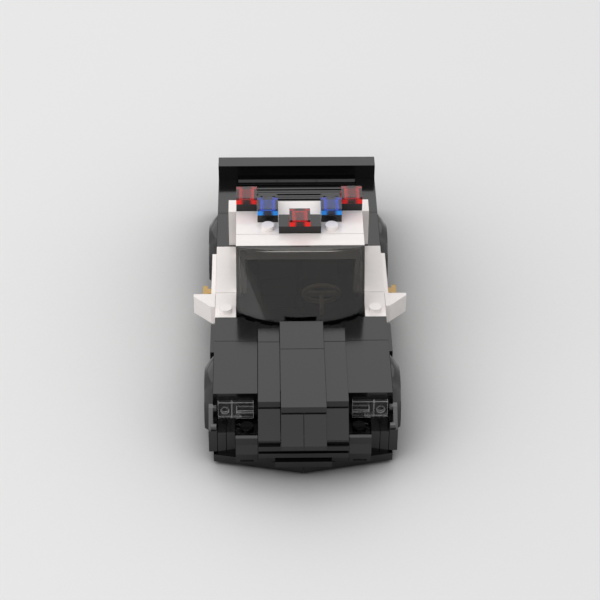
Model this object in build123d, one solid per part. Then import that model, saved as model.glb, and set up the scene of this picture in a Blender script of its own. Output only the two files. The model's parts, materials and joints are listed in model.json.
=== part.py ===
from build123d import *
import os

# Toy police patrol car built from interlocking bricks.
# Millimetres, Z up, nose towards minus Y, origin on the floor at the middle of the outline.

# The brick system
pitch = 8.0                     # stud to stud, and the width of a one-stud piece
plate = 3.2                     # height of a plate or a tile, and the thickness of one set on edge
seam = 0.1                      # what a piece gives up at each upright side
stud_radius = 2.4
stud_height = 1.7
wall = 1.5                      # upright wall of a hollow piece
skin = 1.0                      # top of a hollow piece
slope_lip = 1.7                 # upright edge at the foot of a slope brick
overrun = 2.0                   # how far a cut runs past what it cuts
half_pitch = pitch / 2

# Tyres, rims, pins and the drilled bricks that carry them
tyre_radius = 10.4
tyre_width = 12.0
tyre_wall = 3.4
tyre_shoulder = 1.5
tyre_outer_face = 34.8          # from the middle of the car
wheel_gap = 0.8                 # between the tyre and whatever is round it
front_axle = -49.0
rear_axle = 39.0
hole_height = 5.8               # of the hole's middle above the foot of its brick
hole_radius = 2.45
pin_radius = 2.4
pin_collar = 3.1
collar_width = 1.0
collar_side_count = 12
pin_end_gap = 0.5
cross_thick = 1.8               # of each blade of the pin's cross end

# Across the car, from the middle
half_centre = pitch
half_inner = 2 * pitch
half_cabin = 3 * pitch
half_body = 4 * pitch

# Heights, in plates above the underside of the chassis
chassis_low = tyre_radius - hole_height
floor_top = chassis_low + plate
cabin_low = floor_top + plate
brick_top = cabin_low + plate
nose_low = brick_top + plate
lamp_top = nose_low + plate
belt = lamp_top + plate
hood_inner_top = belt + plate
hood_centre_top = hood_inner_top + plate
rail_top = belt + 5 * plate
roof_low = rail_top + plate
roof_top = roof_low + plate
beacon_low = roof_top + plate
beacon_height = 2.8
beacon_top = beacon_low + beacon_height

# Along the car, from the middle
slope_front = -84.0
nose_back = slope_front + 2 * pitch
grille_front = slope_front + pitch
lip_tip = -78.3
lip_corner = -71.7
lip_back = -60.0
hood_front = -61.0
centre_seam = -44.0
inner_seam = -36.0
hood_seam = -31.5
hood_tile_back = -28.0
hood_back = -17.5
cap_seam = -2.5
fender_front = 27.0
fender_seam = 49.5
roof_front = -3.1
roof_seam = 4.2
roof_back = 25.7
window_inset = 3.1              # of the cabin's upright rear edge behind the roof's
step_count = 6                  # clear steps of the rear window, one stud deep each
ledge_depth = 2.8
spoiler_depth = 6.6
tail_reach = 4.0
window_back = roof_back - window_inset
window_foot = window_back + step_count * pitch
spoiler_front = window_foot + ledge_depth
spoiler_back = spoiler_front + spoiler_depth
tail_back = spoiler_back + tail_reach

# Windscreen
screen_middle_front = -21.5
screen_side_front = -14.0
screen_top_middle_depth = 3.2   # of the level strip in front of the roof
screen_top_side_depth = 1.0
screen_strips = 16
screen_top_strips = 6
glass_wall = 1.4
cowl_width = 2.8

# Arches over the wheels
arch_stand = 3.2                # how far an arch stands out of the side
arch_leg = 3.0                  # how far an arch comes down below its axle
arch_gap = 1.0
arch_rim = 1.6                  # thickness of an arch at its ends
arch_chamfer = 5.4
arch_drop = 3.2                 # of an arch's top at its ends
arch_half = tyre_radius + arch_gap + arch_rim


def solid_box(x0, x1, y0, y1, z0, z1):
    """A right block with no seam."""
    middle = ((x0 + x1) / 2, (y0 + y1) / 2, (z0 + z1) / 2)
    return Pos(*middle) * Box(x1 - x0, y1 - y0, z1 - z0)


def block(x0, x1, y0, y1, z0, z1):
    """A right block that gives up one seam at each upright side."""
    return solid_box(x0 + seam, x1 - seam, y0 + seam, y1 - seam, z0, z1)


def side_profile(points, x0, x1):
    """An outline of (y, z) points, drawn out from x0 to x1."""
    outline = make_face(Polyline(*points, close=True))
    return extrude(Plane.YZ.offset(x0) * outline, amount=x1 - x0)


def top_profile(points, z0, z1):
    """An outline of (x, y) points, drawn up from z0 to z1."""
    outline = make_face(Polyline(*points, close=True))
    return extrude(Plane.XY.offset(z0) * outline, amount=z1 - z0)


def rod_x(radius, x0, x1, y, z):
    """A round bar along X."""
    return Pos((x0 + x1) / 2, y, z) * Rot(0, 90, 0) * Cylinder(radius, x1 - x0)


def stud(x, y, z):
    return Pos(x, y, z + stud_height / 2) * Cylinder(stud_radius, stud_height)


def both(shape):
    """The shape and its twin on the other side of the car."""
    return [shape, mirror(shape, about=Plane.YZ)]


def save(name, *shapes):
    """Writes the solids of all the shapes as one sub-part."""
    solids = []
    for shape in shapes:
        for piece in shape if isinstance(shape, list) else [shape]:
            solids += list(piece.solids())
    export_step(Compound(solids), f"parts/{name}.step")


os.makedirs("parts", exist_ok=True)


# Room for the wheels, taken out of whatever stands beside them
def wheel_room(axle):
    """An eight-sided room that clears the tyre all round."""
    section = RegularPolygon(tyre_radius + wheel_gap, 8, major_radius=False, rotation=360 / 16)
    x0 = tyre_outer_face - tyre_width - wheel_gap
    return extrude(Plane.YZ.offset(x0) * Pos(axle, tyre_radius) * section, amount=half_body + pitch - x0)


front_room = wheel_room(front_axle)
rear_room = wheel_room(rear_axle)


# Chassis
def hollow_plate(x0, x1, y0, y1, z0, z1):
    """A plate open underneath, inside its wall and its top."""
    inside = solid_box(x0 + wall, x1 - wall, y0 + wall, y1 - wall, z0 - overrun, z1 - skin)
    return block(x0, x1, y0, y1, z0, z1) - inside


floor_rows = (
    # half width, front, back
    (half_inner, nose_back, front_axle - pitch),
    (half_centre, front_axle - pitch, front_axle + pitch),
    (half_inner, front_axle + pitch, rear_axle - pitch),
    (half_centre, rear_axle - pitch, rear_axle + pitch),
    (half_inner, rear_axle + pitch, spoiler_front),
)
save("floor_plates", [hollow_plate(-x, x, y0, y1, chassis_low, floor_top) for x, y0, y1 in floor_rows])


def drilled_brick(axle):
    """A brick two studs long with a round hole for the wheel's pin."""
    body = block(half_centre, half_inner, axle - pitch, axle + pitch, chassis_low, brick_top)
    return body - rod_x(hole_radius, 0, half_body, axle, tyre_radius)


save("axle_bricks", both(drilled_brick(front_axle)), both(drilled_brick(rear_axle)))

sill_front = front_axle + arch_half
sill_back = rear_axle - arch_half
save("side_sills", both(hollow_plate(half_inner, half_body, sill_front, sill_back, chassis_low, floor_top)))

# Cabin floor, with one bare stud in front of the seats
cabin_stud_y = -5.6
save("cabin_floor", block(-half_cabin, half_cabin, sill_front, sill_back, floor_top, cabin_low)
     + stud(0, cabin_stud_y, cabin_low))

# Lip under the nose: two wedge plates that meet in a shallow point
lip_edge = half_body - seam
save("front_lip", both(top_profile([
    (seam, lip_tip),
    (lip_edge, lip_corner),
    (lip_edge, lip_back),
    (seam, lip_back),
], chassis_low - plate, chassis_low)))

# Grille: three plates, two with a rail along the front
rail_reach = 2.4
rail_height = 2.0
rail_drop = 0.2
rail_depth = 1.6
rail_stem = 4.0
centre_piece_half = 10.0
centre_piece_reach = 3.5
centre_piece_raise = 0.8
grille = []
for low in (chassis_low, floor_top, cabin_low):
    row = block(-half_inner, half_inner, grille_front, nose_back, low, low + plate)
    if low > chassis_low:
        rail_front = grille_front - rail_reach
        top = low + plate - rail_drop
        rail = solid_box(-half_inner + seam, half_inner - seam, rail_front, rail_front + rail_depth,
                         top - rail_height, top)
        stem = solid_box(-half_inner + rail_stem, half_inner - rail_stem, rail_front, grille_front + half_pitch,
                         top - rail_height / 2, top)
        row = row + rail + stem
    else:
        row = row + solid_box(-centre_piece_half, centre_piece_half, grille_front - centre_piece_reach,
                              grille_front + half_pitch, low + centre_piece_raise, low + plate)
    grille.append(row)
save("grille", grille)


# Nose slopes: 45 degree bricks two studs deep, the centre pair one plate higher and one stud further out
slope_forward = 1.3             # of the outer slopes beyond the stud grid


def slope_brick(x0, x1, front, low):
    top = low + 3 * plate
    return side_profile([
        (front + seam, low),
        (front + seam, low + slope_lip),
        (front + pitch, top),
        (front + 2 * pitch - seam, top),
        (front + 2 * pitch - seam, low),
    ], x0 + seam, x1 - seam)


save("nose_slopes",
     both(slope_brick(0, half_centre, slope_front, nose_low)),
     both(slope_brick(half_centre, half_inner, slope_front + pitch - slope_forward, brick_top)))

# Fog lamp blocks: a low block with a slot across its face, and a wall on its front edge with a sloping foot
slot_low = 0.2
slot_high = 1.2
slot_inset = 1.6
slot_depth = 0.5
fog_wall = 1.6
fog_wall_rise = 1.7
fog_foot_top = 1.8              # above the block's own top
fog_foot_low = -1.7
fog_foot_reach = 1.2
fog_front = grille_front + seam
fog = block(half_inner, half_cabin, grille_front, nose_back, chassis_low, cabin_low)
fog = fog + side_profile([
    (fog_front, cabin_low + fog_foot_low),
    (fog_front - fog_foot_reach, cabin_low + fog_foot_low),
    (fog_front, cabin_low + fog_foot_top),
    (fog_front, brick_top + fog_wall_rise),
    (fog_front + fog_wall, brick_top + fog_wall_rise),
    (fog_front + fog_wall, cabin_low + fog_foot_low),
], half_inner + seam, half_cabin - seam)
fog = fog - solid_box(half_inner + slot_inset, half_cabin - slot_inset, fog_front - overrun,
                      fog_front + slot_depth, chassis_low + slot_low, chassis_low + slot_high)
save("fog_lamp_blocks", both(fog))

# Shelves between the fog lamp blocks and the front wheels
shelf_back = front_axle - tyre_radius - wheel_gap
shelf_stud_y = -65.6
shelf = block(half_inner, half_cabin, nose_back, shelf_back, chassis_low, cabin_low)
save("shelf_plates", both(shelf + stud(half_inner + half_pitch, shelf_stud_y, cabin_low)))

# Three plates on edge at each front corner
corner_front = -71.0
corner_count = 3
corner_raised = 0.8             # of the outermost plate above the others
corners = []
for n in range(corner_count):
    x0 = half_cabin + n * plate
    raised = corner_raised if n == corner_count - 1 else 0
    corners += both(solid_box(x0 + seam, x0 + plate - seam, corner_front, corner_front + pitch - seam,
                              chassis_low + raised, brick_top + raised))
save("corner_plates", corners)

# Headlamps: a square lens with a round eye beside a longer one with a window between two bars
headlamp_depth = 2.0
headlamp_front = front_axle - tyre_radius - wheel_gap - headlamp_depth
headlamp_raise = 2.2
headlamp_low = cabin_low + headlamp_raise
headlamp_inner = 17.6
inner_lens_width = 7.7
outer_lens_width = 4.9
headlamp_split = headlamp_inner + inner_lens_width
headlamp_outer = headlamp_split + outer_lens_width
eye_side_count = 12
eye_radius = 1.5
eye_depth = 1.2
frame_side = 1.7
frame_low = 2.6
frame_high = 1.9
eye_x = (headlamp_split + headlamp_outer) / 2
eye_z = (headlamp_low + lamp_top) / 2
outer_lens = solid_box(headlamp_split + seam, headlamp_outer, headlamp_front, headlamp_front + headlamp_depth,
                       headlamp_low, lamp_top)
outer_lens = outer_lens - extrude(Pos(eye_x, headlamp_front, eye_z) * Rot(90, 0, 0)
                                 * RegularPolygon(eye_radius, eye_side_count), amount=eye_depth, both=True)
inner_lens = solid_box(headlamp_inner, headlamp_split - seam, headlamp_front, headlamp_front + headlamp_depth,
                       headlamp_low, lamp_top)
inner_lens = inner_lens - solid_box(headlamp_inner - overrun, headlamp_split - frame_side,
                                    headlamp_front - overrun, headlamp_front + eye_depth,
                                    headlamp_low + frame_low, lamp_top - frame_high)
save("headlamps", both(outer_lens), both(inner_lens))

# Brackets at the front corners: a leaning bar with a short arm inwards at each end
bracket_x = 32.7
bracket_thick = 1.5
bracket_arm = 2.0
bracket_gap = 1.0               # between the bracket and the front arch
bracket_top_y = front_axle - arch_half - bracket_gap
bracket_top_z = 20.3
bracket_foot_y = -69.4
bracket_foot_z = corner_raised + brick_top + bracket_thick / 2
bracket_lean = bracket_thick / 2
bracket = side_profile([
    (bracket_foot_y - bracket_lean, bracket_foot_z - bracket_lean),
    (bracket_foot_y + bracket_thick, bracket_foot_z - bracket_lean),
    (bracket_top_y + bracket_lean, bracket_top_z),
    (bracket_top_y - bracket_thick, bracket_top_z),
], bracket_x - bracket_thick / 2, bracket_x + bracket_thick / 2)
for y, z in ((bracket_foot_y, bracket_foot_z), (bracket_top_y - bracket_lean, bracket_top_z - bracket_lean)):
    bracket = bracket + solid_box(bracket_x - bracket_arm, bracket_x, y - bracket_lean, y + bracket_lean,
                                  z - bracket_lean, z + bracket_lean)
save("corner_brackets", both(bracket))


# The bowed line along the foot of the windscreen, and what is bounded by it
def bow(middle, side, half_width, z):
    return ThreePointArc((-half_width, side, z), (0, middle, z), (half_width, side, z))


def bowed_plate(middle, side, half_width, back, low, high):
    """A plate with a bowed front edge."""
    straight = Polyline((half_width, side, low), (half_width, back, low), (-half_width, back, low),
                        (-half_width, side, low))
    return extrude(make_face(bow(middle, side, half_width, low) + straight), amount=high - low)


cowl_middle = screen_middle_front - cowl_width
cowl_side = screen_side_front - cowl_width
cowl_region = bowed_plate(cowl_middle, cowl_side, half_cabin, roof_front, lamp_top, hood_inner_top)

# Hood
hood_steps = (
    # half width, front, back, low, top
    (half_inner, nose_back, front_axle - pitch, floor_top, brick_top),
    (half_inner, front_axle + pitch, sill_front, floor_top, brick_top),
    (half_inner, sill_front, hood_back, cabin_low, brick_top),
    (half_centre, nose_back, nose_back + pitch, brick_top, nose_low),
    (half_centre, nose_back, hood_tile_back, nose_low, hood_inner_top),
)
core = block(-half_inner, half_inner, nose_back + pitch, hood_back, brick_top, belt) - cowl_region
for half_width, front, back, low, top in hood_steps:
    core = core + solid_box(-half_width + seam, half_width - seam, front + seam, back, low, top)
core = core + block(-half_centre, half_centre, grille_front, nose_back + pitch, brick_top, nose_low)
save("hood_core", core)

save("hood_centre_tiles",
     block(-half_centre, half_centre, grille_front, centre_seam, hood_inner_top, hood_centre_top),
     block(-half_centre, half_centre, centre_seam, hood_tile_back, hood_inner_top, hood_centre_top))
save("hood_inner_tiles",
     both(block(half_centre, half_inner, nose_back - slope_forward, inner_seam, belt, hood_inner_top)),
     both(block(half_centre, half_inner, inner_seam, hood_tile_back, belt, hood_inner_top)))
save("hood_outer_panels",
     both(block(half_inner, half_body, hood_front, hood_seam, lamp_top, belt) - front_room),
     both(block(half_inner, half_body, hood_seam, hood_back, lamp_top, belt) - cowl_region))

# Bricks behind the headlamps, and between the front wheels and the doors
lamp_seat = headlamp_front + headlamp_depth
fender_back = solid_box(half_cabin + seam, half_body - seam, sill_front, hood_back - seam, floor_top, lamp_top)
fender_nose = solid_box(half_inner + seam, half_body - seam, lamp_seat, front_axle, headlamp_low, lamp_top) - front_room
fender_nose = fender_nose - solid_box(half_inner, half_cabin, lamp_seat + wall, front_axle + overrun,
                                      headlamp_low - overrun, lamp_top - skin)
fender_skin = 1.5
fender_skin_front = -34.0
fender_back = fender_back + solid_box(half_cabin + seam, half_body + fender_skin, fender_skin_front,
                                      hood_back - seam, cabin_low, lamp_top)
save("front_fenders", both(fender_back), both(fender_nose))


def arch(axle):
    """A flared arch with its upright ends cut back on the slant."""
    front, back = axle - arch_half, axle + arch_half
    low = tyre_radius - arch_leg
    reach = half_body + arch_stand
    body = solid_box(half_body, reach, front, back, low, belt)
    body = body - rod_x(tyre_radius + arch_gap, half_body - overrun, half_body + pitch, axle, tyre_radius)
    for end, way in ((front, 1), (back, -1)):
        body = body - top_profile([
            (half_body + seam, end - way * overrun),
            (half_body + seam, end),
            (reach, end + way * arch_chamfer),
            (reach + overrun, end + way * arch_chamfer),
            (reach + overrun, end - way * overrun),
        ], low - overrun, belt + overrun)
        body = body - side_profile([
            (end - way * overrun, belt - arch_drop),
            (end, belt - arch_drop),
            (end + way * arch_chamfer, belt),
            (end + way * arch_chamfer, belt + overrun),
            (end - way * overrun, belt + overrun),
        ], half_body - overrun, reach + overrun)
    return body


save("front_arches", both(arch(front_axle)))
save("rear_arches", both(arch(rear_axle)))


# Windscreen: the hull of a deeply bowed foot and a slightly bowed head, in flat strips that fan out
def shaved(body, line, other_line):
    """The body, cut along each stretch of a line by the plane that just touches the other line."""
    for a, b in zip(line, line[1:]):
        outwards = (b - a).cross(Vector(0, 0, 1))
        c = max(other_line, key=lambda point: point.dot(outwards))
        facing = (b - a).cross(c - a)
        if facing.dot(outwards) < 0:
            facing = -facing
        body = split(body, bisect_by=Plane(origin=a, z_dir=facing), keep=Keep.BOTTOM)
    return body


def canopy(inset, back, top):
    """The space under the windscreen, moved in by an inset and cut off level at the top."""
    half = half_cabin - seam - inset
    foot = bow(screen_middle_front + inset, screen_side_front + inset, half, belt)
    head = bow(roof_front - screen_top_middle_depth + inset, roof_front - screen_top_side_depth + inset, half, roof_top)
    foot_line = [foot @ (n / screen_strips) for n in range(screen_strips + 1)]
    head_line = [head @ (n / screen_top_strips) for n in range(screen_top_strips + 1)]
    body = solid_box(-half, half, screen_middle_front, back, belt, top)
    return shaved(shaved(body, foot_line, head_line), head_line, foot_line)


save("windscreen", canopy(0, roof_front - seam, roof_top) - canopy(glass_wall, roof_front + overrun, roof_top - glass_wall))

# Dark rim that the windscreen stands on, open inside, with small pads along its front edge
cowl_top = lamp_top + skin
pad_height = 2.4
pad_width = 2.3
pad_depth = 1.0
pad_shares = (0.055, 0.175, 0.315)  # places along the front edge, from one end to the middle
rim = bowed_plate(cowl_middle + seam, cowl_side + seam, half_cabin - seam, roof_front, lamp_top, cowl_top)
rim = rim - bowed_plate(screen_middle_front + glass_wall + wall, screen_side_front + glass_wall + wall,
                        half_cabin - 2 * wall, roof_front + overrun, lamp_top - overrun, belt)
glass_seat = bowed_plate(screen_middle_front, screen_side_front, half_cabin - seam, roof_front, cowl_top - seam, belt)
glass_seat = glass_seat - bowed_plate(screen_middle_front + glass_wall, screen_side_front + glass_wall,
                                      half_cabin - seam - glass_wall, roof_front + overrun, lamp_top, belt + overrun)
pad_line = bow((cowl_middle + screen_middle_front) / 2, (cowl_side + screen_side_front) / 2, half_cabin - seam,
               lamp_top + pad_height / 2)
pads = []
for share in pad_shares:
    across = (pad_line % share).get_angle(Vector(1, 0, 0))
    pad = Pos(pad_line @ share) * Rot(0, 0, -across) * Box(pad_width, pad_depth, pad_height)
    pads += both(pad)
rim = rim + glass_seat
for pad in pads:
    rim = rim + pad
save("cowl_rim", rim)

# Inside the cabin
dash_back = -8.0
dash_rail = 2.0
dash = solid_box(-half_cabin + wall, half_cabin - wall, hood_back, dash_back, cabin_low, belt - plate)
dash_stud_y = -12.4
dash = dash + stud(0, dash_stud_y, belt - plate)
save("dashboard", dash)

# Steering wheel: a rim of many flats, two dished spokes, a column and its bracket on the dashboard
steering_x = 8.0
steering_y = -5.5
steering_z = belt + 1.0
steering_tilt = -64
steering_radius = 7.5
steering_width = 1.5
steering_thick = 1.2
steering_flat_count = 24
column_thick = 1.6
column_length = 6.5
bracket_post_depth = 2.0
ring = RegularPolygon(steering_radius, steering_flat_count) - RegularPolygon(steering_radius - steering_width, steering_flat_count)
steering = extrude(ring, amount=steering_thick)
steering = steering + Pos(0, 0, steering_thick / 2) * Box(2 * steering_radius - steering_width, 2 * steering_width,
                                                          steering_thick)
steering = steering + Pos(0, 0, -column_length / 2) * Box(column_thick, column_thick, column_length)
steering = Pos(steering_x, steering_y, steering_z) * Rot(steering_tilt, 0, 0) * steering
post = solid_box(steering_x - column_thick / 2, steering_x + column_thick / 2, dash_back - dash_rail - bracket_post_depth,
                 dash_back - dash_rail, belt - plate, belt)
save("steering_wheel", (steering - dash) + (post - dash))

# Seats: a cushion and a leaning back in one piece
seat_width = 14.0
seat_front = 2.0
seat_gap = 4.6                  # between the seats and the upright rear edge of the cabin
seat_back = window_back - seat_gap
seat_thick = 4.0
seat_top = rail_top - 2 * plate
seats = both(side_profile([
    (seat_front, cabin_low),
    (seat_front, cabin_low + 2 * seat_thick),
    (seat_back - seat_thick, cabin_low + 2 * seat_thick - plate / 2),
    (seat_back - seat_thick / 2, seat_top),
    (seat_back + seat_thick / 2, seat_top),
    (seat_back, cabin_low),
], half_centre + seam - seat_width / 2, half_centre + seam + seat_width / 2))
save("seats", seats)

# Doors
door_skin = 1.6
door_skin_back = 24.2
cap_stud_y = -13.4
mirror_front = -11.0
mirror_back = -3.0
save("door_panels", both(block(half_cabin, half_body, hood_back, sill_back, floor_top, lamp_top)))
save("door_caps",
     both(block(half_cabin, half_body, hood_back, cap_seam, lamp_top, belt)
          + stud(half_cabin + half_pitch, cap_stud_y, belt)),
     both(block(half_cabin, half_body, cap_seam, fender_front, lamp_top, belt)))
save("door_skins", both(solid_box(half_body, half_body + door_skin, mirror_back, door_skin_back,
                                  cabin_low, belt - door_skin)))

# Mirrors: a slope on its side on a thin strip
mirror_depth = 8.2
mirror_lip = 1.5
strip_depth = 1.6
mirror_low = belt - pitch
strip = solid_box(half_body, half_body + strip_depth, mirror_front, mirror_back, mirror_low, belt)
wedge = top_profile([
    (half_body + strip_depth, mirror_back - seam),
    (half_body + mirror_depth, mirror_back - seam),
    (half_body + mirror_depth, mirror_back - mirror_lip),
    (half_body + strip_depth, mirror_front + seam),
], mirror_low + seam, belt - seam)
save("mirrors", both(strip), both(wedge))

# Behind each mirror, a short bar along the door on an arm
clip_back = 6.0
clip_width = 1.8
clip_arm_width = 3.0
clip_height = 3.2
clip_inner = 3.1                # from the door to the bar
clip_arm_back = 4.2
clip_low = belt - 2 * plate
clip = solid_box(half_body + clip_inner, half_body + clip_inner + clip_width, mirror_back, clip_back,
                 clip_low, clip_low + clip_height)
clip = clip + solid_box(half_body + door_skin, half_body + clip_inner + clip_width, clip_arm_back - clip_arm_width,
                        clip_arm_back, clip_low, clip_low + clip_height)
save("mirror_clips", both(clip))

# Rear sides
rear_fender = block(half_cabin, half_body, sill_back, tail_back - pitch, floor_top, lamp_top)
save("rear_fenders", both(rear_fender - rear_room))
save("rear_fender_caps",
     both(block(half_cabin, half_body, fender_front, fender_seam, lamp_top, belt) - rear_room),
     both(block(half_cabin, half_body, fender_seam, spoiler_front + spoiler_depth, lamp_top, belt)))

# Rear window: six clear steps, each a plate two studs deep with its rear half let down for the louvre bars
bar_count = 4
bar_width = 1.1
bar_height = 1.2
steps = []
bars = []
for n in range(step_count):
    back = window_foot - n * pitch
    top = belt + n * plate
    steps.append(side_profile([
        (back - seam, top - plate),
        (back - seam, top - bar_height),
        (back - pitch, top - bar_height),
        (back - pitch, top),
        (back - 2 * pitch + seam, top),
        (back - 2 * pitch + seam, top - plate),
    ], -half_cabin + seam, half_cabin - seam))
    for m in range(bar_count):
        bar_back = back - seam - m * pitch / bar_count
        bars.append(solid_box(-half_cabin + seam, half_cabin - seam, bar_back - bar_width, bar_back,
                              top - bar_height, top))
save("rear_glass", steps)
save("louvres", bars)

# Roof with its rails, posts and side glass; the window ends where the last step's rear half starts
post_depth = 3.0
rail_front = roof_front
rail_back = window_back - pitch
save("roof_plate", block(-half_cabin, half_cabin, roof_front, roof_back, rail_top, roof_low))
roof_stud_x = 1.5 * pitch
roof_stud_y = 7.8
back_tile = block(-half_cabin, half_cabin, roof_seam, roof_back, roof_low, roof_top)
for shape in both(stud(roof_stud_x, roof_stud_y, roof_top)):
    back_tile = back_tile + shape
save("roof_tiles", block(-half_cabin, half_cabin, roof_front, roof_seam, roof_low, roof_top), back_tile)
save("roof_side_rails", both(block(half_cabin - plate, half_cabin, rail_front, rail_back, rail_top - plate, rail_top)))
pillar_front = 27.7
pillar_stand = 0.1              # clear of the cabin side
posts = both(block(half_cabin - plate, half_cabin, roof_front, roof_front + post_depth, belt, rail_top - plate))
posts += both(block(half_cabin - plate, half_cabin, window_back - post_depth, window_back, belt, rail_top - plate))
posts += both(solid_box(half_cabin + pillar_stand, half_cabin + plate - seam, pillar_front + seam,
                        pillar_front + pitch - seam, belt, belt + 2 * pitch))
save("window_posts", posts)
save("side_glass", both(solid_box(half_cabin - wall - glass_wall, half_cabin - wall, roof_front + post_depth,
                                  window_back - post_depth, belt, rail_top - plate)))

# Stepped walls that close the sides under the rear window
quarter = [(window_back, belt)]
for n in range(step_count - 1, 2, -1):
    top = belt + (n - 2) * plate
    quarter.append((window_foot - (n + 1) * pitch, top))
    quarter.append((window_foot - n * pitch, top))
quarter.append((window_foot - 3 * pitch, belt))
save("rear_quarters", both(side_profile(quarter, half_cabin - plate, half_cabin - seam)))

# Roof lamps: one row from the middle outwards, each pair stepped back; hollow lenses over the studs of their bases
beacon_front = 4.4
beacon_step = 7.3
lens_wall = 1.2
lens_skin = 1.0
peg_side_count = 12
peg_height = 1.6
tab_depth = 5.4
tab_bow = 1.6
pit_radius = 0.5
pit_depth = 0.6
pit_x = 2.35
pit_y = 1.2                     # in front of the tab's straight rear edge
beacons = (
    # lens colour, steps out from the middle
    ("red", 0),
    ("blue", 1),
    ("red", 2),
)


def tab(x, front, back, low, high):
    """A rounded tab with two small pits in its top."""
    half = half_pitch - seam
    edge = ThreePointArc((x - half, back), (x, back + tab_bow), (x + half, back))
    straight = Polyline((x + half, back), (x + half, front), (x - half, front), (x - half, back))
    body = extrude(Plane.XY.offset(low) * make_face(edge + straight), amount=high - low)
    for side in (-pit_x, pit_x):
        pit = Pos(x + side, back - pit_y, high - pit_depth) * extrude(RegularPolygon(pit_radius, 8), amount=overrun)
        body = body - pit
    return body


bases = []
lenses = {"red": [], "blue": []}
for colour, n in beacons:
    front = beacon_front + n * beacon_step
    x = n * pitch + half_pitch if n else 0
    half_base = half_pitch if n else pitch
    base = block(x - half_base, x + half_base, front, front + pitch, roof_top, beacon_low)
    if colour == "blue":
        base = base + tab(x, front + pitch - seam, front + pitch + tab_depth, roof_top, beacon_low)
    base = base + extrude(Pos(x, front + half_pitch, beacon_low) * RegularPolygon(stud_radius, peg_side_count),
                          amount=peg_height)
    lens = block(x - half_pitch, x + half_pitch, front, front + pitch, beacon_low, beacon_top)
    lens = lens - solid_box(x - half_pitch + lens_wall, x + half_pitch - lens_wall, front + lens_wall,
                            front + pitch - lens_wall, beacon_low, beacon_top - lens_skin)
    bases += both(base) if n else [base]
    lenses[colour] += both(lens) if n else [lens]
save("lamp_bases", bases)
save("red_lamps", lenses["red"])
save("blue_lamps", lenses["blue"])

# Ledge in front of the spoiler, in three pieces
ledge_lip = 1.0
ledges = []
for n in (-1, 0, 1):
    x = 2 * n * pitch
    ledges.append(side_profile([
        (window_foot + seam, lamp_top),
        (window_foot + seam, lamp_top + skin),
        (spoiler_front - ledge_lip, lamp_top + skin),
        (spoiler_front - ledge_lip, belt - ledge_lip),
        (spoiler_front - seam, belt - seam),
        (spoiler_front - seam, lamp_top),
    ], x - pitch + seam, x + pitch - seam))
save("trunk_ledge", ledges)

# Tail
save("rear_panel", solid_box(-half_cabin - seam, half_cabin + seam, spoiler_front + seam, spoiler_back - seam,
                             floor_top, belt))
save("spoiler", block(-half_body, half_body, spoiler_front, spoiler_back, belt, hood_centre_top))
tail_lamp_depth = 1.6
save("tail_lamps", both(solid_box(half_inner + seam, half_body - seam, spoiler_back, spoiler_back + tail_lamp_depth,
                                  brick_top, lamp_top)))
save("rear_bumper", block(-half_body, half_body, tail_back - pitch, tail_back, chassis_low, floor_top))


# Wheels
def turned(points, side, axle):
    """A section of (distance along the axle, radius) points, turned about the axle."""
    outline = make_face(Polyline(*[(x, r, 0) for x, r in points], close=True))
    return placed(revolve(outline, axis=Axis.X, revolution_arc=360), side, axle)


def placed(shape, side, axle):
    """A left-hand piece on the axle's line, taken to its own wheel."""
    if side < 0:
        shape = mirror(shape, about=Plane.YZ)
    return Pos(0, axle, tyre_radius) * shape


outer = tyre_outer_face
inner = tyre_outer_face - tyre_width
rim_radius = tyre_radius - tyre_wall
tyre_points = [
    (inner, rim_radius),
    (inner, tyre_radius),
    (outer - tyre_shoulder, tyre_radius),
    (outer, tyre_radius - tyre_shoulder),
    (outer, rim_radius),
]

# Rim: a round barrel with a ten-sided dish on each face, and five slots between its spokes
rim_dish = 2.6
rim_wall = 1.2
rim_web = 2.0
spoke_count = 5
slot_inner = 3.4
slot_outer = 5.2
slot_width = 2.2
dish = RegularPolygon(rim_radius - rim_wall, 2 * spoke_count, major_radius=False)
cross = Rectangle(2 * pin_radius, cross_thick) + Rectangle(cross_thick, 2 * pin_radius)
web_out = outer - rim_dish
web_in = web_out - rim_web
collar_end = half_inner + collar_width
rim = rod_x(rim_radius, inner, outer, 0, 0)
rim = rim - extrude(Plane.YZ.offset(web_out) * dish, amount=rim_dish + overrun)
rim = rim - extrude(Plane.YZ.offset(inner - overrun) * dish, amount=web_in - inner + overrun)
rim = rim - extrude(Plane.YZ.offset(inner) * cross, amount=tyre_width)
slot = Pos((slot_inner + slot_outer) / 2, 0) * Rectangle(slot_outer - slot_inner, slot_width)
for n in range(spoke_count):
    rim = rim - extrude(Plane.YZ.offset(web_in - overrun) * Rot(0, 0, n * 360 / spoke_count) * slot,
                        amount=rim_web + 2 * overrun)

# Pin: round where it turns in the drilled brick, a collar, then a cross that the rim is pressed on
pin = rod_x(pin_radius, half_centre + pin_end_gap, collar_end, 0, 0) \
    + extrude(Plane.YZ.offset(half_inner + seam) * RegularPolygon(pin_collar, collar_side_count),
              amount=collar_width - seam) \
    + extrude(Plane.YZ.offset(collar_end) * cross, amount=web_out - collar_end)

wheels = (
    # name, side, axle; the left side is plus X, as the driver sits
    ("front_left", 1, front_axle),
    ("front_right", -1, front_axle),
    ("rear_left", 1, rear_axle),
    ("rear_right", -1, rear_axle),
)
for name, side, axle in wheels:
    save(f"{name}_tyre", turned(tyre_points, side, axle))
    save(f"{name}_rim", placed(rim, side, axle))
    save(f"{name}_pin", placed(pin, side, axle))
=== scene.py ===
import json
import math

import bmesh
import bpy
from mathutils import Matrix, Vector


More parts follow.
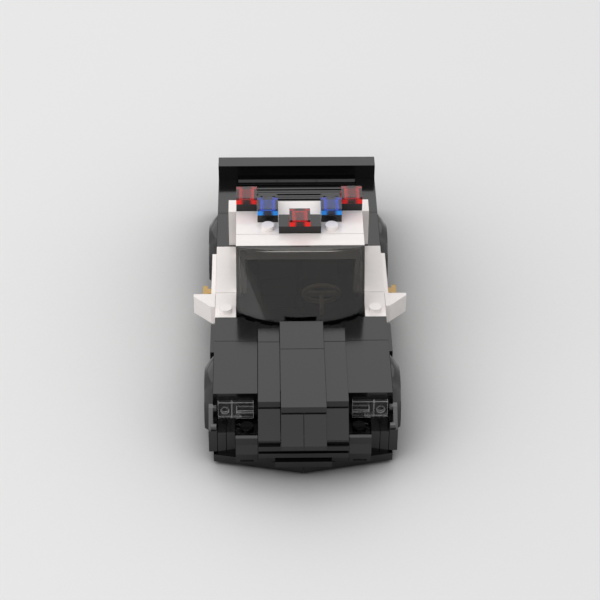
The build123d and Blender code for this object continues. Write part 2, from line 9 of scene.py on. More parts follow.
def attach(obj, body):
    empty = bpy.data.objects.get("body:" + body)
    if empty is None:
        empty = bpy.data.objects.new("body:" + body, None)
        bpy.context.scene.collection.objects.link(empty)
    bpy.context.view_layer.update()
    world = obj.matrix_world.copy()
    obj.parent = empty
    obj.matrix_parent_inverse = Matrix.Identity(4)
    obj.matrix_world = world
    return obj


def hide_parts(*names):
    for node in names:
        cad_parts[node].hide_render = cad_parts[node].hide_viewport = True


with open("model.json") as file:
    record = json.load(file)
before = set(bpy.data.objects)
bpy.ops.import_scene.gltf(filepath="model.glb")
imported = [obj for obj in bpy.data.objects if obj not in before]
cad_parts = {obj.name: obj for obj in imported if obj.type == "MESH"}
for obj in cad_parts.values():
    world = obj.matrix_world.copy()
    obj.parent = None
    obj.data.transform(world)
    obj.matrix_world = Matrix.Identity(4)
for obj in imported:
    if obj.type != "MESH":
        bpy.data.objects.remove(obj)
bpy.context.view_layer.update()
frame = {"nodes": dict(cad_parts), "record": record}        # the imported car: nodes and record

mm = 0.001
weld = 0.001                              # mm, points closer than this are one
print("frame loaded:", len(frame["nodes"]), "nodes")


def hexColour(code):
    # an sRGB hex value as the linear colour that sockets take
    channels = [int(code[place:place + 2], 16) / 255 for place in (1, 3, 5)]
    linear = [c / 12.92 if c <= 0.04045 else ((c + 0.055) / 1.055) ** 2.4 for c in channels]
    return (*linear, 1)


def addNode(tree, kind, settings=None, sockets=None):
    # one node: its own settings, and for each socket a value or the socket that feeds it
    node = tree.nodes.new(kind)
    for name, value in (settings or {}).items():
        setattr(node, name, value)
    for name, value in (sockets or {}).items():
        if isinstance(value, bpy.types.NodeSocket):
            tree.links.new(value, node.inputs[name])
        else:
            node.inputs[name].default_value = value
    return node


# Camera

photoView = {
    "place": (-0.0126, -0.5766, 0.468),   # metres
    "lookDown": 37.955,                   # degrees below level
    "turn": 1.26,                         # degrees towards plus X
    "roll": 0.375,
    "focalPixels": 1918,
    "framePixels": 600,
    "sensor": 36,                         # mm
}


def makeCamera():
    data = bpy.data.cameras.new("photoCamera")
    data.sensor_fit = "HORIZONTAL"
    data.sensor_width = photoView["sensor"]
    data.lens = photoView["focalPixels"] / photoView["framePixels"] * photoView["sensor"]
    data.clip_start = 1 * mm
    camera = bpy.data.objects.new("photoCamera", data)
    bpy.context.scene.collection.objects.link(camera)
    level = Matrix.Rotation(-math.radians(photoView["turn"]), 4, "Z")
    down = Matrix.Rotation(math.radians(90 - photoView["lookDown"]), 4, "X")
    roll = Matrix.Rotation(math.radians(photoView["roll"]), 4, "Z")
    camera.matrix_world = Matrix.Translation(photoView["place"]) @ level @ down @ roll
    bpy.context.scene.camera = camera


# Light and floor

studio = {
    "dome": "#FFFFFF",
    "domeStrength": 0.70,                 # what comes from all round
    "backdrop": "#E7E7E7",
    "floor": "#EAEAEA",
    "paintedShadeReach": 0.12,                   # metres over which the painted shade reaches round the car
    "floorBounce": "#A8A8A8",
    "floorSize": 8,                       # metres
}

softBoxes = (
    # name, degrees from plus Y towards minus X, degrees above level, metres away, metres across, brightness
    ("rearBox", 8, 40, 1.6, 1.6, 0.64),
    ("leftBox", 116, 28, 1.3, 1.6, 0.85),
    ("topBox", 180, 56, 1.5, 1.0, 0.35),
)


def makeWorld():
    # the dome lights the car, while the eye, gloss and glass see the pale backdrop
    world = bpy.data.worlds.new("studio")
    bpy.context.scene.world = world
    world.use_nodes = True
    tree = world.node_tree
    tree.nodes.clear()
    path = addNode(tree, "ShaderNodeLightPath")
    seen = addNode(tree, "ShaderNodeMath", {"operation": "MAXIMUM"},
                   {0: path.outputs["Is Camera Ray"], 1: path.outputs["Is Glossy Ray"]})
    shown = addNode(tree, "ShaderNodeMath", {"operation": "MAXIMUM"},
                    {0: seen.outputs[0], 1: path.outputs["Is Transmission Ray"]})
    fill = addNode(tree, "ShaderNodeBackground", sockets={
        "Color": hexColour(studio["dome"]), "Strength": studio["domeStrength"]})
    backdrop = addNode(tree, "ShaderNodeBackground", sockets={
        "Color": hexColour(studio["backdrop"]), "Strength": 1})
    pick = addNode(tree, "ShaderNodeMixShader", sockets={
        0: shown.outputs[0], 1: fill.outputs[0], 2: backdrop.outputs[0]})
    addNode(tree, "ShaderNodeOutputWorld", sockets={"Surface": pick.outputs[0]})


def makeLights():
    for name, turn, rise, away, across, brightness in softBoxes:
        data = bpy.data.lights.new(name, "AREA")
        data.shape = "SQUARE"
        data.size = across
        data.energy = brightness * math.pi * across ** 2
        lamp = bpy.data.objects.new(name, data)
        bpy.context.scene.collection.objects.link(lamp)
        turn, rise = math.radians(turn), math.radians(rise)
        towards = Vector((-math.sin(turn) * math.cos(rise), math.cos(turn) * math.cos(rise), math.sin(rise)))
        lamp.location = towards * away
        lamp.rotation_euler = towards.to_track_quat("Z", "Y").to_euler()


def makeFloor():
    mesh = bpy.data.meshes.new("floor")
    half = studio["floorSize"] / 2
    corners = [(-half, -half, 0), (half, -half, 0), (half, half, 0), (-half, half, 0)]
    mesh.from_pydata(corners, [], [(0, 1, 2, 3)])
    floor = bpy.data.objects.new("floor", mesh)
    bpy.context.scene.collection.objects.link(floor)
    # painted board: matt and pale, darker to the light that it throws back
    material = bpy.data.materials.new("matt_painted_board")
    material.use_nodes = True
    tree = material.node_tree
    tree.nodes.clear()
    path = addNode(tree, "ShaderNodeLightPath")
    colour = addNode(tree, "ShaderNodeMix", {"data_type": "RGBA"}, {
        0: path.outputs["Is Diffuse Ray"], 6: hexColour(studio["floor"]), 7: hexColour(studio["floorBounce"])})
    # painted shade: the floor's colour is darkened near the car, on top of its real shadow
    shade = addNode(tree, "ShaderNodeAmbientOcclusion", {"samples": 16}, {
        "Color": colour.outputs[2], "Distance": studio["paintedShadeReach"]})
    matt = addNode(tree, "ShaderNodeBsdfDiffuse", sockets={"Color": shade.outputs["Color"]})
    addNode(tree, "ShaderNodeOutputMaterial", sockets={"Surface": matt.outputs[0]})
    mesh.materials.append(material)


makeCamera()
makeWorld()
makeLights()
makeFloor()
print("camera, light and floor are set")


# Plastics

moulding = {
    "edgeRound": 0.16,                    # mm, the radius that a mould leaves on each edge
    "ripple": 2.4,                        # mm between the soft sink marks of a moulded face
    "rippleDeep": 0.02,                   # mm
    "sinkStrength": 0.12,
    "grain": 0.12,                        # mm, polish marks of the mould, drawn coarser than they are
    "glossBelow": 0.02,                   # how far the grain takes the roughness down and up
    "glossAbove": 0.03,
    "edgeTurn": 0.8,                      # cosine of the turn at which a rounded edge counts in full
    "wearAndHighlightGain": 1.3,                      # an edge is this much paler, partly wear and partly a painted highlight
    "wearAndHighlightLift": 0.01,
}


def mouldedAbs(name, colour, roughness=0.13, tint=0.03, edgeWearAndHighlight=0.06, ior=1.52):
    # ABS brick: injection moulded in a polished tool, even and glossy, with faint sink marks and soft edges
    material = bpy.data.materials.new(name)
    material.use_nodes = True
    tree = material.node_tree
    tree.nodes.clear()
    place = addNode(tree, "ShaderNodeTexCoord").outputs["Object"]
    ripple = addNode(tree, "ShaderNodeTexNoise", sockets={
        "Vector": place, "Scale": 1 / (moulding["ripple"] * mm), "Detail": 1})
    grain = addNode(tree, "ShaderNodeTexNoise", sockets={
        "Vector": place, "Scale": 1 / (moulding["grain"] * mm), "Detail": 2})
    edge = addNode(tree, "ShaderNodeBevel", {"samples": 4}, {"Radius": moulding["edgeRound"] * mm})
    geometry = addNode(tree, "ShaderNodeNewGeometry")
    facing = addNode(tree, "ShaderNodeVectorMath", {"operation": "DOT_PRODUCT"}, {
        0: edge.outputs[0], 1: geometry.outputs["Normal"]})
    # paler rounded edges: partly wear, partly a painted highlight
    wearAndHighlightShare = addNode(tree, "ShaderNodeMapRange", sockets={
        0: facing.outputs["Value"], 1: 1, 2: moulding["edgeTurn"], 3: 0, 4: edgeWearAndHighlight})
    base = hexColour(colour)[:3]
    darker = tuple(c * (1 - tint) for c in base) + (1,)
    lighter = tuple(min(1, c * (1 + tint)) for c in base) + (1,)
    wearAndHighlightColour = tuple(min(1, c * moulding["wearAndHighlightGain"] + moulding["wearAndHighlightLift"]) for c in base) + (1,)
    body = addNode(tree, "ShaderNodeMix", {"data_type": "RGBA"}, {0: ripple.outputs["Fac"], 6: darker, 7: lighter})
    wearAndHighlight = addNode(tree, "ShaderNodeMix", {"data_type": "RGBA"}, {
        0: wearAndHighlightShare.outputs[0], 6: body.outputs[2], 7: wearAndHighlightColour})
    gloss = addNode(tree, "ShaderNodeMapRange", sockets={
        0: grain.outputs["Fac"], 3: roughness - moulding["glossBelow"], 4: roughness + moulding["glossAbove"]})
    sink = addNode(tree, "ShaderNodeBump", sockets={
        "Strength": moulding["sinkStrength"], "Distance": moulding["rippleDeep"] * mm,
        "Height": ripple.outputs["Fac"], "Normal": edge.outputs[0]})
    shader = addNode(tree, "ShaderNodeBsdfPrincipled", sockets={
        "IOR": ior, "Base Color": wearAndHighlight.outputs[2], "Roughness": gloss.outputs[0], "Normal": sink.outputs[0]})
    addNode(tree, "ShaderNodeOutputMaterial", sockets={"Surface": shader.outputs[0]})
    return material


lens = {
    "pitch": 8.0,                         # mm, the width of a roof lamp
    "middle": 6.0,                        # within this of the car's middle it is the middle lamp
    "cornerFrom": 1.0,                    # from a lamp's middle, where the painted glow in its corner starts
    "cornerTo": 2.6,
    "paintedGlowLow": 50.9,                      # height over which the painted glow fades out
    "paintedGlowHigh": 51.8,
}


def paintedGlowShare(tree, place):
    # 1 in the lower corners of each roof lamp, where a glow is painted for the light that runs down inside its
    # walls and comes out
    parts = addNode(tree, "ShaderNodeSeparateXYZ", sockets={"Vector": place}).outputs
    half = lens["pitch"] / 2 * mm
    across = addNode(tree, "ShaderNodeMath", {"operation": "ABSOLUTE"}, {0: parts["X"]}).outputs[0]
    folded = addNode(tree, "ShaderNodeMath", {"operation": "PINGPONG"}, {0: across, 1: half}).outputs[0]
    turnedOver = addNode(tree, "ShaderNodeMath", {"operation": "SUBTRACT"}, {0: half, 1: folded}).outputs[0]
    isSide = addNode(tree, "ShaderNodeMath", {"operation": "GREATER_THAN"}, {
        0: across, 1: lens["middle"] * mm}).outputs[0]
    fromMiddle = addNode(tree, "ShaderNodeMix", {"data_type": "FLOAT"}, {
        "Factor": isSide, 2: folded, 3: turnedOver}).outputs[0]
    corner = addNode(tree, "ShaderNodeMapRange", {"interpolation_type": "SMOOTHSTEP"}, {
        0: fromMiddle, 1: lens["cornerFrom"] * mm, 2: lens["cornerTo"] * mm, 3: 0, 4: 1})
    low = addNode(tree, "ShaderNodeMapRange", {"interpolation_type": "SMOOTHSTEP"}, {
        0: parts["Z"], 1: lens["paintedGlowLow"] * mm, 2: lens["paintedGlowHigh"] * mm, 3: 1, 4: 0})
    return addNode(tree, "ShaderNodeMath", {"operation": "MULTIPLY"}, {
        0: corner.outputs[0], 1: low.outputs[0]}).outputs[0]


clearMoulding = {
    "flowStrength": 0.08,
    "flat": 0.98,                         # cosine up to which a face counts as flat
    "hazeAndHighlightGain": 1.1,                      # the haze and the painted edge highlight against the mass
    "hazeAndHighlightLift": 0.05,
}


def clearPlastic(name, colour, shade, roughness=0.04, ior=1.58, edgeHighlight=0.12, milk=0.0,
                 edgeRound=moulding["edgeRound"], paintedCornerGlow=None):
    # polycarbonate brick: glass clear and tinted in the mass, with a painted highlight along its moulded edges
    # shade is how much of the light gets through to what is inside
    material = bpy.data.materials.new(name)
    material.use_nodes = True
    tree = material.node_tree
    tree.nodes.clear()
    place = addNode(tree, "ShaderNodeTexCoord").outputs["Object"]
    ripple = addNode(tree, "ShaderNodeTexNoise", sockets={
        "Vector": place, "Scale": 1 / (moulding["ripple"] * mm), "Detail": 1})
    edge = addNode(tree, "ShaderNodeBevel", {"samples": 4}, {"Radius": edgeRound * mm})
    flow = addNode(tree, "ShaderNodeBump", sockets={
        "Strength": clearMoulding["flowStrength"], "Distance": moulding["rippleDeep"] * mm,
        "Height": ripple.outputs["Fac"], "Normal": edge.outputs[0]})
    glass = addNode(tree, "ShaderNodeBsdfPrincipled", sockets={
        "Base Color": hexColour(colour), "IOR": ior, "Roughness": roughness, "Transmission Weight": 1,
        "Normal": flow.outputs[0]})
    geometry = addNode(tree, "ShaderNodeNewGeometry")
    facing = addNode(tree, "ShaderNodeVectorMath", {"operation": "DOT_PRODUCT"}, {
        0: edge.outputs[0], 1: geometry.outputs["Normal"]})
    # painted highlight along the moulded edges, for the light that the clear plastic bends and throws back there,
    # over a faint haze on the flat faces
    hazeAndHighlightShare = addNode(tree, "ShaderNodeMapRange", sockets={
        0: facing.outputs["Value"], 1: clearMoulding["flat"], 2: moulding["edgeTurn"], 3: milk, 4: edgeHighlight})
    paler = tuple(min(1, c * clearMoulding["hazeAndHighlightGain"] + clearMoulding["hazeAndHighlightLift"]) for c in hexColour(colour)[:3])
    hazeAndHighlight = addNode(tree, "ShaderNodeBsdfDiffuse", sockets={"Color": paler + (1,)})
    body = addNode(tree, "ShaderNodeMixShader", sockets={
        0: hazeAndHighlightShare.outputs[0], 1: glass.outputs[0], 2: hazeAndHighlight.outputs[0]})
    if paintedCornerGlow:
        # painted glow: a bright diffuse colour in the lamp's lower corners
        paintedGlow = addNode(tree, "ShaderNodeBsdfDiffuse", sockets={"Color": hexColour(paintedCornerGlow)})
        body = addNode(tree, "ShaderNodeMixShader", sockets={
            0: paintedGlowShare(tree, place), 1: body.outputs[0], 2: paintedGlow.outputs[0]})
    through = addNode(tree, "ShaderNodeBsdfTransparent", sockets={"Color": hexColour(shade)})
    path = addNode(tree, "ShaderNodeLightPath")
    pick = addNode(tree, "ShaderNodeMixShader", sockets={
        0: path.outputs["Is Shadow Ray"], 1: body.outputs[0], 2: through.outputs[0]})
    addNode(tree, "ShaderNodeOutputMaterial", sockets={"Surface": pick.outputs[0]})
    return material


rubber = {
    "dark": "#161616",
    "pale": "#242424",
    "tooth": 0.35,                        # mm between the high spots
    "toothDeep": 0.04,                    # mm
    "toothStrength": 0.3,
    "roughness": 0.62,
    "ior": 1.5,
}


def makeRubber():
    # tyre rubber: moulded soft compound, matt and near black, with a fine tooth
    material = bpy.data.materials.new("moulded_rubber")
    material.use_nodes = True
    tree = material.node_tree
    tree.nodes.clear()
    place = addNode(tree, "ShaderNodeTexCoord").outputs["Object"]
    tooth = addNode(tree, "ShaderNodeTexNoise", sockets={
        "Vector": place, "Scale": 1 / (rubber["tooth"] * mm), "Detail": 3})
    colour = addNode(tree, "ShaderNodeMix", {"data_type": "RGBA"}, {
        0: tooth.outputs["Fac"], 6: hexColour(rubber["dark"]), 7: hexColour(rubber["pale"])})
    bump = addNode(tree, "ShaderNodeBump", sockets={
        "Strength": rubber["toothStrength"], "Distance": rubber["toothDeep"] * mm, "Height": tooth.outputs["Fac"]})
    shader = addNode(tree, "ShaderNodeBsdfPrincipled", sockets={
        "Roughness": rubber["roughness"], "IOR": rubber["ior"],
        "Base Color": colour.outputs[2], "Normal": bump.outputs[0]})
    addNode(tree, "ShaderNodeOutputMaterial", sockets={"Surface": shader.outputs[0]})
    return material


finishes = {
    "black": mouldedAbs("moulded_black_abs", "#101010"),
    "white": mouldedAbs("moulded_white_abs", "#F7F1EE"),
    "smoked": clearPlastic("smoked_polycarbonate", "#8C8A86", "#8A8884", ior=1.46),
    # the headlamp lenses carry a strong painted highlight along their edges
    "clear": clearPlastic("clear_polycarbonate", "#EAEAEA", "#F6F6F6", roughness=0.05, edgeHighlight=0.95, milk=0.04,
                          edgeRound=0.3),
    "clear_red": clearPlastic("red_polycarbonate", "#D4141C", "#E8787C", paintedCornerGlow="#FF3A34"),
    "clear_blue": clearPlastic("blue_polycarbonate", "#1470E8", "#7AA8E8", paintedCornerGlow="#3FA0FF"),
    "pale_grey": mouldedAbs("moulded_grey_abs", "#565656"),
    "gold": mouldedAbs("moulded_gold_abs", "#C09A50", roughness=0.25),
    "dark_grey": mouldedAbs("moulded_dark_grey_abs", "#4A4C4E"),
    "silver": mouldedAbs("moulded_silver_abs", "#8A8E90", roughness=0.25),
    "tan": mouldedAbs("moulded_tan_abs", "#B5A48C"),
    "tyre": makeRubber(),
}

slots = {part["node"]: part["material_slot"] for part in frame["record"]["subparts"]}
for nodeName, slotName in slots.items():
    piece = frame["nodes"][nodeName]
    piece.data.materials.clear()
    piece.data.materials.append(finishes[slotName])
print("finishes are set")


def roundOff(mesh, sharpFrom):
    # faces turned outwards and shaded smooth, but for edges sharper than so many degrees
    work = bmesh.new()
    work.from_mesh(mesh)
    bmesh.ops.remove_doubles(work, verts=work.verts, dist=weld * mm)
    bmesh.ops.recalc_face_normals(work, faces=work.faces)
    for face in work.faces:
        face.smooth = True
    for edge in work.edges:
        edge.smooth = edge.calc_face_angle(math.pi) < math.radians(sharpFrom)
    work.to_mesh(mesh)
    work.free()


# Windscreen: the CAD sheet with its curved strips shaded as one surface

windscreen = {
    "sharpFrom": 30,                      # degrees between two strips
}


def smoothCopy(nodeName, body, sharpFrom):
    mesh = frame["nodes"][nodeName].data.copy()
    roundOff(mesh, sharpFrom)
    piece = bpy.data.objects.new(nodeName + "Smooth", mesh)
    bpy.context.scene.collection.objects.link(piece)
    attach(piece, body)
    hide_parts(nodeName)


smoothCopy("windscreen", "body", windscreen["sharpFrom"])
print("windscreen is smoothed")


# Hood tiles: each with the shallow groove round its foot that such a tile has

groove = {
    "high": 0.8,                          # mm
    "deep": 0.35,
}


def blocksOf(mesh):
    # the lowest and highest corner of each block of a mesh
    work = bmesh.new()
    work.from_mesh(mesh)
    bmesh.ops.remove_doubles(work, verts=work.verts, dist=weld * mm)
    seen = set()
    blocks = []
    for first in work.verts:
        if first in seen:
            continue
        seen.add(first)
        block = [first]
        for vertex in block:
            for edge in vertex.link_edges:
                other = edge.other_vert(vertex)
                if other not in seen:
                    seen.add(other)
                    block.append(other)
        blocks.append([[pick(vertex.co[n] for vertex in block) for n in range(3)] for pick in (min, max)])
    work.free()
    return blocks


def groovedTiles(nodeName, body):
    # every block of the node as a top slab on a slightly smaller foot
    places = []
    faces = []
    for low, high in blocksOf(frame["nodes"][nodeName].data):
        deep = groove["deep"] * mm
        level = low[2] + groove["high"] * mm
        rings = (
            # inset, height
            (deep, low[2]),
            (deep, level),
            (0, level),
            (0, high[2]),
        )
        start = len(places)
        for inset, z in rings:
            places += [(low[0] + inset, low[1] + inset, z), (high[0] - inset, low[1] + inset, z),
                       (high[0] - inset, high[1] - inset, z), (low[0] + inset, high[1] - inset, z)]
        last = start + 4 * (len(rings) - 1)
        faces += [(start + 3, start + 2, start + 1, start), (last, last + 1, last + 2, last + 3)]
        for ring in range(len(rings) - 1):
            for n in range(4):
                here, after = start + 4 * ring + n, start + 4 * ring + (n + 1) % 4
                faces.append((here, after, after + 4, here + 4))
    tiles = bpy.data.meshes.new(nodeName + "Grooved")
    tiles.from_pydata(places, [], faces)
    tiles.materials.append(finishes[slots[nodeName]])
    piece = bpy.data.objects.new(nodeName + "Grooved", tiles)
    bpy.context.scene.collection.objects.link(piece)
    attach(piece, body)
    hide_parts(nodeName)


for nodeName in ("hood_centre_tiles", "hood_inner_tiles"):
    groovedTiles(nodeName, "body")
print("hood tiles have their grooves")


# What the tyres and the tubes share

def nodeTree(name, numbers):
    # a tree that takes geometry and named numbers and gives geometry
    tree = bpy.data.node_groups.new(name, "GeometryNodeTree")
    tree.interface.new_socket("Geometry", in_out="INPUT", socket_type="NodeSocketGeometry")
    for label, value in numbers.items():
        kind = "NodeSocketVector" if isinstance(value, tuple) else \
            "NodeSocketInt" if isinstance(value, int) else "NodeSocketFloat"
        tree.interface.new_socket(label, in_out="INPUT", socket_type=kind)
    tree.interface.new_socket("Geometry", in_out="OUTPUT", socket_type="NodeSocketGeometry")
    return tree


def turnedMesh(name, section, count, sharpFrom):
    # a closed section of (along X, radius) points in mm, turned about X
    mesh = bpy.data.meshes.new(name)
    places = []
    for step in range(count):
        angle = 2 * math.pi * step / count
        places += [(x * mm, r * math.sin(angle) * mm, r * math.cos(angle) * mm) for x, r in section]
    size = len(section)
    faces = []
    for step in range(count):
        here, there = step * size, (step + 1) % count * size
        for n in range(size):
            after = (n + 1) % size
            faces.append((here + n, here + after, there + after, there + n))
    mesh.from_pydata(places, [], faces)
    roundOff(mesh, sharpFrom)
    return mesh


def grown(name, mesh, tree, numbers, body):
    # the mesh put through the tree, as a plain mesh piece on its body
    piece = bpy.data.objects.new(name, mesh)
    bpy.context.scene.collection.objects.link(piece)
    modifier = piece.modifiers.new(tree.name, "NODES")
    modifier.node_group = tree
    for item in tree.interface.items_tree:
        if item.in_out == "INPUT" and item.name in numbers:
            modifier[item.identifier] = numbers[item.name]
    ready = piece.evaluated_get(bpy.context.evaluated_depsgraph_get())
    result = bpy.data.meshes.new_from_object(ready)
    piece.modifiers.remove(modifier)
    piece.data = result
    result.name = name
    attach(piece, body)
    return piece


# Sizes of the tyres

tyre = {
    "half": 6.0,                          # mm, half the width
    "bore": 7.0,
    "tread": 9.75,                        # radius between the lugs
    "shoulder": 1.3,
    "shoulderSteps": 5,
    "bead": 0.7,                          # height of the raised ring beside the rim
    "recess": 0.25,
    "turns": 96,
    "sharpFrom": 35,                      # degrees
    "lugTop": 10.36,
    "lugSunk": 0.2,                       # foot of a lug inside the carcass
    "lugWide": 1.6,
    "lugLong": 4.9,
    "lugMiddle": 3.05,                    # from the middle of the tread
    "lugsInRow": 24,
    "out": 28.8,                          # of the wheel's middle from the car's
    "front": -49.0,
    "rear": 39.0,
    "axle": 10.4,
}


# Wheel arches: a moulded flare that runs out from the side to a thin round lip over the tyre

flare = {
    "inner": 32.0,                        # mm across, where it leaves the side
    "outer": 35.2,
    "bore": 11.4,
    "lip": 0.8,                           # thickness at the outer edge
    "half": 13.0,                         # along the car, from the axle
    "rise": 13.4,                         # above the axle
    "drop": 3.0,                          # below it
    "corner": 3.6,                        # cut off the upper corners
    "bulge": 0.5,
    "hollow": 1.3,                        # how late the lip spreads to the full outline
    "steps": 48,
    "bands": 5,
    "sharpFrom": 40,                      # degrees
}


def flareOutline(angle):
    # how far the flare reaches from the axle at the body, in a direction given from the front round over the top
    along, up = -math.cos(angle), math.sin(angle)
    limits = [flare["half"] / abs(along) if along else math.inf, flare["rise"] / up if up > 0 else math.inf]
    if up > 0:
        limits.append((flare["half"] + flare["rise"] - flare["corner"]) / (abs(along) + up))
    return min(limits)


def flareMesh(name, way, axle):
    low = math.asin(flare["drop"] / flare["half"])
    lip = flare["bore"] + flare["lip"]
    top = tyre["axle"] + flare["rise"]
    places = []
    for step in range(flare["steps"] + 1):
        angle = -low + (math.pi + 2 * low) * step / flare["steps"]
        reach = flareOutline(angle)
        section = [(flare["inner"], flare["bore"]), (flare["outer"], flare["bore"])]
        for band in range(flare["bands"] + 1):
            share = band / flare["bands"]
            radius = lip + (reach - lip) * share ** flare["hollow"] + flare["bulge"] * math.sin(math.pi * share)
            section.append((flare["outer"] + (flare["inner"] - flare["outer"]) * share, radius))
        places += [(way * x * mm, (axle - r * math.cos(angle)) * mm,
                    min(tyre["axle"] + r * math.sin(angle), top) * mm) for x, r in section]
    size = flare["bands"] + 3
    faces = [tuple(range(size)), tuple(flare["steps"] * size + n for n in range(size))]
    for step in range(flare["steps"]):
        here, there = step * size, (step + 1) * size
        for n in range(size):
            after = (n + 1) % size
            faces.append((here + n, here + after, there + after, there + n))
    mesh = bpy.data.meshes.new(name)
    mesh.from_pydata(places, [], faces)
    roundOff(mesh, flare["sharpFrom"])
    return mesh


for end in ("front", "rear"):
    for way in (1, -1):
        name = f"{end}Flare{way + 2}"
        piece = bpy.data.objects.new(name, flareMesh(name, way, tyre[end]))
        bpy.context.scene.collection.objects.link(piece)
        piece.data.materials.append(finishes["black"])
        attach(piece, "body")
        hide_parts(end + "_arches")
print("arches are shaped")


# Tyres: a round-shouldered carcass with two staggered rows of lugs

def tyreSection():
    side = tyre["half"] - tyre["recess"]
    bead = tyre["bore"] + tyre["bead"]
    right = [(tyre["half"], tyre["bore"]), (tyre["half"], bead), (side, bead + tyre["recess"])]
    for step in range(tyre["shoulderSteps"] + 1):
        angle = math.pi / 2 * step / tyre["shoulderSteps"]
        right.append((side - tyre["shoulder"] * (1 - math.cos(angle)),
                      tyre["tread"] - tyre["shoulder"] * (1 - math.sin(angle))))
    return right + [(-x, r) for x, r in reversed(right)]


def lugTree():
    # one lug for each number: even ones in the right row, odd ones half a step on in the left row
    tree = nodeTree("tyreLugs", {"Lugs in a row": 1, "Lug middle": 0.0, "Lug radius": 0.0,
                                 "Lug size": (0, 0, 0), "Wheel centre": (0, 0, 0)})
    given = addNode(tree, "NodeGroupInput").outputs
    count = addNode(tree, "ShaderNodeMath", {"operation": "MULTIPLY"}, {0: given["Lugs in a row"], 1: 2}).outputs[0]
    points = addNode(tree, "GeometryNodePoints", sockets={"Count": count})
    index = addNode(tree, "GeometryNodeInputIndex").outputs[0]
    turned = addNode(tree, "ShaderNodeMath", {"operation": "MULTIPLY"}, {0: index, 1: 2 * math.pi}).outputs[0]
    angle = addNode(tree, "ShaderNodeMath", {"operation": "DIVIDE"}, {0: turned, 1: count}).outputs[0]
    odd = addNode(tree, "ShaderNodeMath", {"operation": "MODULO"}, {0: index, 1: 2}).outputs[0]
    side = addNode(tree, "ShaderNodeMath", {"operation": "MULTIPLY_ADD"}, {0: odd, 1: 2, 2: -1}).outputs[0]
    sine = addNode(tree, "ShaderNodeMath", {"operation": "SINE"}, {0: angle}).outputs[0]
    cosine = addNode(tree, "ShaderNodeMath", {"operation": "COSINE"}, {0: angle}).outputs[0]
    across = addNode(tree, "ShaderNodeMath", {"operation": "MULTIPLY"}, {0: side, 1: given["Lug middle"]})
    along = addNode(tree, "ShaderNodeMath", {"operation": "MULTIPLY"}, {0: sine, 1: given["Lug radius"]})
    up = addNode(tree, "ShaderNodeMath", {"operation": "MULTIPLY"}, {0: cosine, 1: given["Lug radius"]})
    place = addNode(tree, "ShaderNodeCombineXYZ", sockets={
        "X": across.outputs[0], "Y": along.outputs[0], "Z": up.outputs[0]})
    placed = addNode(tree, "GeometryNodeSetPosition", sockets={
        "Geometry": points.outputs[0], "Position": place.outputs[0]})
    back = addNode(tree, "ShaderNodeMath", {"operation": "MULTIPLY"}, {0: angle, 1: -1}).outputs[0]
    turn = addNode(tree, "ShaderNodeCombineXYZ", sockets={"X": back})
    lug = addNode(tree, "GeometryNodeMeshCube", sockets={"Size": given["Lug size"]})
    lugs = addNode(tree, "GeometryNodeInstanceOnPoints", sockets={
        "Points": placed.outputs[0], "Instance": lug.outputs["Mesh"], "Rotation": turn.outputs[0]})
    both = addNode(tree, "GeometryNodeJoinGeometry", sockets={0: given["Geometry"]})
    tree.links.new(lugs.outputs[0], both.inputs[0])
    moved = addNode(tree, "GeometryNodeTransform", sockets={
        "Geometry": both.outputs[0], "Translation": given["Wheel centre"]})
    real = addNode(tree, "GeometryNodeRealizeInstances", sockets={"Geometry": moved.outputs[0]})
    coloured = addNode(tree, "GeometryNodeSetMaterial", sockets={
        "Geometry": real.outputs[0], "Material": finishes["tyre"]})
    addNode(tree, "NodeGroupOutput", sockets={"Geometry": coloured.outputs[0]})
    return tree


lugs = lugTree()
for end in ("front", "rear"):
    for side, way in (("left", 1), ("right", -1)):
        wheel = end + "_" + side
        numbers = {
            "Lugs in a row": tyre["lugsInRow"],
            "Lug middle": tyre["lugMiddle"] * mm,
            "Lug radius": (tyre["lugTop"] + tyre["tread"] - tyre["lugSunk"]) / 2 * mm,
            "Lug size": (tyre["lugLong"] * mm, tyre["lugWide"] * mm,
                         (tyre["lugTop"] - tyre["tread"] + tyre["lugSunk"]) * mm),
            "Wheel centre": (way * tyre["out"] * mm, tyre[end] * mm, tyre["axle"] * mm),
        }
        carcass = turnedMesh(wheel + "Carcass", tyreSection(), tyre["turns"], tyre["sharpFrom"])
        piece = grown(wheel + "Tyre", carcass, lugs, numbers, wheel + "_wheel")
        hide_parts(wheel + "_tyre")
print("tyres are grown")


# Round tubes inside the hollow chassis plates, as they show from below

tube = {
    "outer": 3.2,                         # mm
    "inner": 2.4,
    "low": 4.6,
    "high": 6.8,
    "pitch": 8.0,
    "turns": 32,
    "sharpFrom": 35,                      # degrees
}

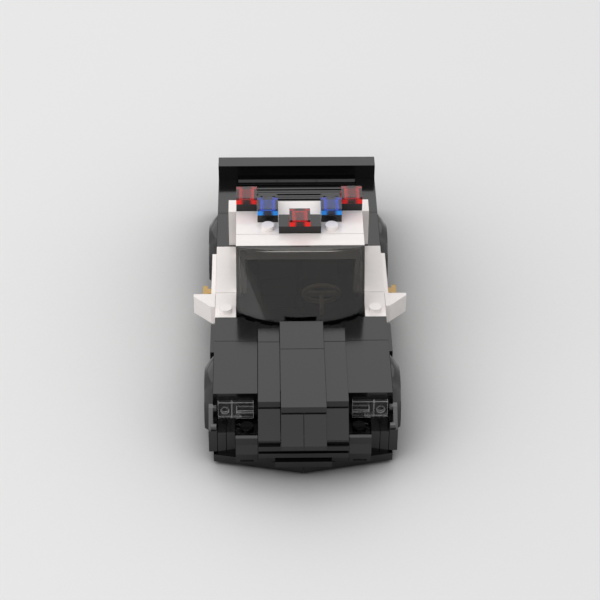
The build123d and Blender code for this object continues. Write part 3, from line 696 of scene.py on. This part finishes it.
tubeFields = (
    # middle across, middle along, columns, rows
    (0, -62.5, 3, 1),
    (0, -49, 1, 1),
    (0, -5, 3, 8),
    (0, 39, 1, 1),
    (0, 60.2, 3, 2),
    (24, -5, 1, 7),
    (-24, -5, 1, 7),
)


def tubeTree():
    # the mesh that comes in is one tube along X, and it stands on each point of a grid
    tree = nodeTree("plateTubes", {"Columns": 1, "Rows": 1, "Pitch": 0.0, "Middle": (0, 0, 0)})
    given = addNode(tree, "NodeGroupInput").outputs
    steps = [addNode(tree, "ShaderNodeMath", {"operation": "SUBTRACT"}, {0: given[label], 1: 1}).outputs[0]
             for label in ("Columns", "Rows")]
    spans = [addNode(tree, "ShaderNodeMath", {"operation": "MULTIPLY"}, {0: step, 1: given["Pitch"]}).outputs[0]
             for step in steps]
    grid = addNode(tree, "GeometryNodeMeshGrid", sockets={
        "Vertices X": given["Columns"], "Vertices Y": given["Rows"], "Size X": spans[0], "Size Y": spans[1]})
    moved = addNode(tree, "GeometryNodeTransform", sockets={
        "Geometry": grid.outputs["Mesh"], "Translation": given["Middle"]})
    standing = addNode(tree, "GeometryNodeInstanceOnPoints", sockets={
        "Points": moved.outputs[0], "Instance": given["Geometry"], "Rotation": (0, math.pi / 2, 0)})
    real = addNode(tree, "GeometryNodeRealizeInstances", sockets={"Geometry": standing.outputs[0]})
    coloured = addNode(tree, "GeometryNodeSetMaterial", sockets={
        "Geometry": real.outputs[0], "Material": finishes["black"]})
    addNode(tree, "NodeGroupOutput", sockets={"Geometry": coloured.outputs[0]})
    return tree


tubes = tubeTree()
halfTube = (tube["high"] - tube["low"]) / 2
tubeSection = [(-halfTube, tube["inner"]), (halfTube, tube["inner"]), (halfTube, tube["outer"]),
               (-halfTube, tube["outer"])]
for number, (across, along, columns, rows) in enumerate(tubeFields, 1):
    numbers = {
        "Columns": columns,
        "Rows": rows,
        "Pitch": tube["pitch"] * mm,
        "Middle": (across * mm, along * mm, (tube["low"] + halfTube) * mm),
    }
    oneTube = turnedMesh(f"tubeTurned{number}", tubeSection, tube["turns"], tube["sharpFrom"])
    grown(f"plateTubes{number}", oneTube, tubes, numbers, "body")
print("tubes are grown")

bpy.context.scene.view_settings.view_transform = "Standard"
